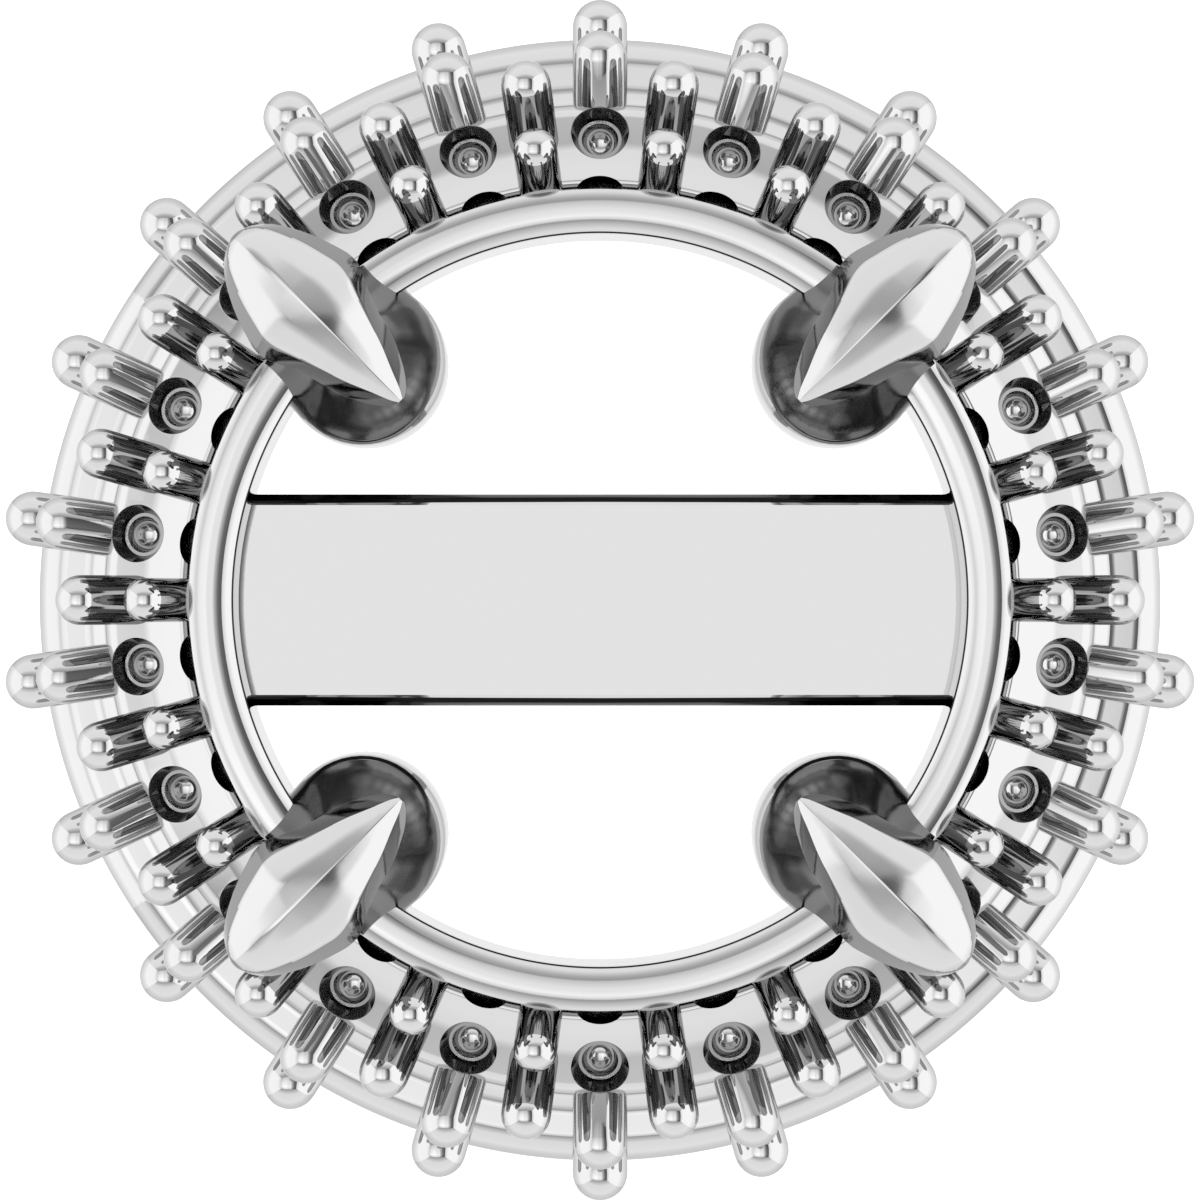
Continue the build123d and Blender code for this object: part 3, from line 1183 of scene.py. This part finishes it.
@dataclass
class Studio:
    """A white studio: pale floor, soft walls that the mirror metal shows, and the camera.

    The camera's distance and sensor are in millimetres and the floor's size is in metres. The
    room's left, right and top are slopes from the face's axis to the back wall's edges. Tones
    across run from far left to far right, and upward ones from straight down to straight up.
    """

    place: FacePlace
    camera_distance: float = 33.33
    focal_pixels: float = 3800
    photo_pixels: float = 1200
    sensor: float = 36.0
    floor_size: float = 0.6
    floor_colour: str = "e8e8e8"
    floor_glow: float = 0.8
    bounces: int = 14
    room_strength: float = 2.5
    room_left: float = 0.727
    room_right: float = 0.577
    room_top: float = 0.48
    least_depth: float = 0.001
    across: tuple[Tone, ...] = (
        Tone(-90, "f4f4f4"),
        Tone(-48, "f2f2f2"),
        Tone(-36, "d2d2d2"),
        Tone(-26, "ededed"),
        Tone(-12, "f3f3f3"),
        Tone(-6, BACK_WALL),
        Tone(6, BACK_WALL),
        Tone(11, "b4b4b4"),
        Tone(20, "686868"),
        Tone(29.5, "545454"),
        Tone(30.5, "d4d4d4"),
        Tone(42, "f6f6f6"),
        Tone(90, "f6f6f6"),
    )
    upward: tuple[Tone, ...] = (
        Tone(-90, "e0e0e0"),
        Tone(-48, "dadada"),
        Tone(-33, "b4b4b4"),
        Tone(-26, "969696"),
        Tone(-22.5, "d2d2d2"),
        Tone(-14, "f2f2f2"),
        Tone(-2, BACK_WALL),
        Tone(2, BACK_WALL),
        Tone(14, "d1d1d1"),
        Tone(22, "c2c2c2"),
        Tone(26, "969696"),
        Tone(34, "aaaaaa"),
        Tone(48, "dcdcdc"),
        Tone(90, "e0e0e0"),
    )

    def tone_ramp(
        self, tree: NodeTree, side: NodeSocket, depth: NodeSocket, tones: tuple[Tone, ...]
    ) -> NodeSocket:
        """Brightness of the walls by the angle that a direction has from the axis.

        Args:
            tree: The world's node tree.
            side: Sideways part of the direction.
            depth: Part of the direction along the axis.
            tones: Brightness at each angle.

        Returns:
            The colour socket.
        """
        angle = add_node(tree, "Math", {0: side, 1: depth}, operation="ARCTAN2").outputs[0]
        share = add_node(
            tree, "MapRange", {"Value": angle, "From Min": -math.pi / 2, "From Max": math.pi / 2}
        ).outputs["Result"]
        ramp = add_node(tree, "ValToRGB", {"Fac": share})
        stops = ramp.color_ramp.elements
        stops[0].position, stops[0].color = 0.0, to_linear(tones[0].colour)
        stops[1].position, stops[1].color = 1.0, to_linear(tones[-1].colour)
        for tone in tones[1:-1]:
            stop = stops.new((tone.angle + 90) / 180)
            stop.color = to_linear(tone.colour)
        return ramp.outputs["Color"]

    def share_of_wall(
        self, tree: NodeTree, side: NodeSocket, depth: NodeSocket, edges: Point
    ) -> NodeSocket:
        """How far out on the back wall a direction points, as a share of the way to its edge.

        Args:
            tree: The world's node tree.
            side: Sideways part of the direction.
            depth: Part of the direction along the axis.
            edges: Slopes to two opposite edges of the wall.

        Returns:
            The socket of the share, which is 1 at the edge.
        """
        slope = add_node(tree, "Math", {0: side, 1: depth}, operation="DIVIDE").outputs[0]
        shares = [
            add_node(tree, "Math", {0: slope, 1: edge}, operation="DIVIDE").outputs[0]
            for edge in edges
        ]
        return add_node(tree, "Math", dict(enumerate(shares)), operation="MAXIMUM").outputs[0]

    def room_colour(self, tree: NodeTree, parts: list[NodeSocket]) -> NodeSocket:
        """Colour of the painted room in a direction.

        Args:
            tree: The world's node tree.
            parts: The direction's parts across, upward and along the face's axis.

        Returns:
            The colour socket.
        """
        depth = add_node(tree, "Math", {0: parts[2]}, operation="ABSOLUTE").outputs[0]
        depth = add_node(tree, "Math", {0: depth, 1: self.least_depth}, operation="MAXIMUM").outputs[0]
        across = self.tone_ramp(tree, parts[0], depth, self.across)
        upward = self.tone_ramp(tree, parts[1], depth, self.upward)
        wide = self.share_of_wall(tree, parts[0], depth, (self.room_right, -self.room_left))
        high = self.share_of_wall(tree, parts[1], depth, (self.room_top, -self.room_top))
        sideways = add_node(tree, "Math", {0: wide, 1: high}, operation="GREATER_THAN").outputs[0]
        walls = add_node(tree, "Mix", {0: sideways, 6: upward, 7: across}, data_type="RGBA").outputs[2]
        back = add_node(
            tree, "Mix", {0: 1.0, 6: across, 7: upward}, data_type="RGBA", blend_type="MULTIPLY"
        ).outputs[2]
        scale = 1 / to_linear(BACK_WALL)[0]
        back = add_node(tree, "VectorMath", {"Vector": back, "Scale": scale}, operation="SCALE").outputs[0]
        far = add_node(tree, "Math", {0: wide, 1: high}, operation="MAXIMUM").outputs[0]
        inside = add_node(tree, "Math", {0: far, 1: 1.0}, operation="LESS_THAN").outputs[0]
        return add_node(tree, "Mix", {0: inside, 6: walls, 7: back}, data_type="RGBA").outputs[2]

    def world(self) -> None:
        """Paint the room by direction.

        The camera and diffuse light see plain white. Mirrored rays see the room, which
        fades to the same white the more they point away from the camera.
        """
        world = bpy.data.worlds.new("white_studio")
        bpy.context.scene.world = world
        world.use_nodes = True
        tree = world.node_tree
        tree.nodes.clear()
        ray = add_node(tree, "TexCoord").outputs["Generated"]
        turn = self.place.turn()
        parts = [
            add_node(
                tree, "VectorMath", {0: ray, 1: turn.col[axis].to_3d()}, operation="DOT_PRODUCT"
            ).outputs["Value"]
            for axis in range(3)
        ]
        colour = self.room_colour(tree, parts)
        room = add_node(tree, "Background", {"Color": colour, "Strength": self.room_strength}).outputs[0]
        white = add_node(tree, "Background", {"Color": (1, 1, 1, 1), "Strength": 1.0}).outputs[0]
        away = add_node(
            tree, "MapRange", {"Value": parts[2], "From Min": 0.0, "From Max": -1.0}
        ).outputs["Result"]
        mirrored = add_node(tree, "MixShader", {0: away, 1: room, 2: white}).outputs[0]
        seen = add_node(tree, "LightPath").outputs
        camera_or_matt = {0: seen["Is Camera Ray"], 1: seen["Is Diffuse Ray"]}
        plain = add_node(tree, "Math", camera_or_matt, operation="MAXIMUM").outputs[0]
        mixed = add_node(tree, "MixShader", {0: plain, 1: mirrored, 2: white}).outputs[0]
        add_node(tree, "OutputWorld", {"Surface": mixed})

    def floor(self) -> None:
        """Lay the pale floor, which the metal doesn't mirror."""
        bm = bmesh.new()
        bmesh.ops.create_grid(bm, x_segments=1, y_segments=1, size=self.floor_size / 2)
        floor = bpy.data.objects.new("floor", as_mesh(bm, "floor"))
        bpy.context.scene.collection.objects.link(floor)
        material = bpy.data.materials.new("pale_floor")
        material.use_nodes = True
        tree = material.node_tree
        tree.nodes.clear()
        matt = add_node(tree, "BsdfDiffuse", {"Color": to_linear(self.floor_colour)}).outputs[0]
        glow = add_node(tree, "Emission", {"Color": (1, 1, 1, 1), "Strength": self.floor_glow}).outputs[0]
        lit = add_node(tree, "AddShader", {0: matt, 1: glow}).outputs[0]
        add_node(tree, "OutputMaterial", {"Surface": lit})
        floor.data.materials.append(material)
        floor.visible_glossy = False

    def camera(self) -> None:
        """Put the camera straight in front of the face."""
        data = bpy.data.cameras.new("camera")
        data.sensor_width = self.sensor
        data.lens = self.sensor * self.focal_pixels / self.photo_pixels
        data.clip_start = MM
        data.clip_end = 10.0
        camera = bpy.data.objects.new("camera", data)
        bpy.context.scene.collection.objects.link(camera)
        back = Matrix.Translation((0, 0, self.camera_distance * MM))
        camera.matrix_world = Matrix.Translation(self.place.origin) @ self.place.turn() @ back
        bpy.context.scene.camera = camera

    def build(self) -> None:
        """Set up the whole studio."""
        self.world()
        self.floor()
        self.camera()
        scene = bpy.context.scene
        scene.view_settings.view_transform = "Standard"
        scene.cycles.max_bounces = self.bounces
        scene.cycles.glossy_bounces = self.bounces
        log.info("studio: floor, room and camera are in place")


def main() -> None:
    """Build the setting's pieces in order and set up the studio."""
    logging.basicConfig(level=logging.INFO)
    place = FacePlace.from_record(frame["record"])
    Halo("halo_metal", "halo_frame", place).build()
    ClawHead("claw_head_metal", "claw_head", place).build()
    EarPost("ear_post_metal", "ear_post", place).build()
    Studio(place).build()


if __name__ == "__main__":
    main()
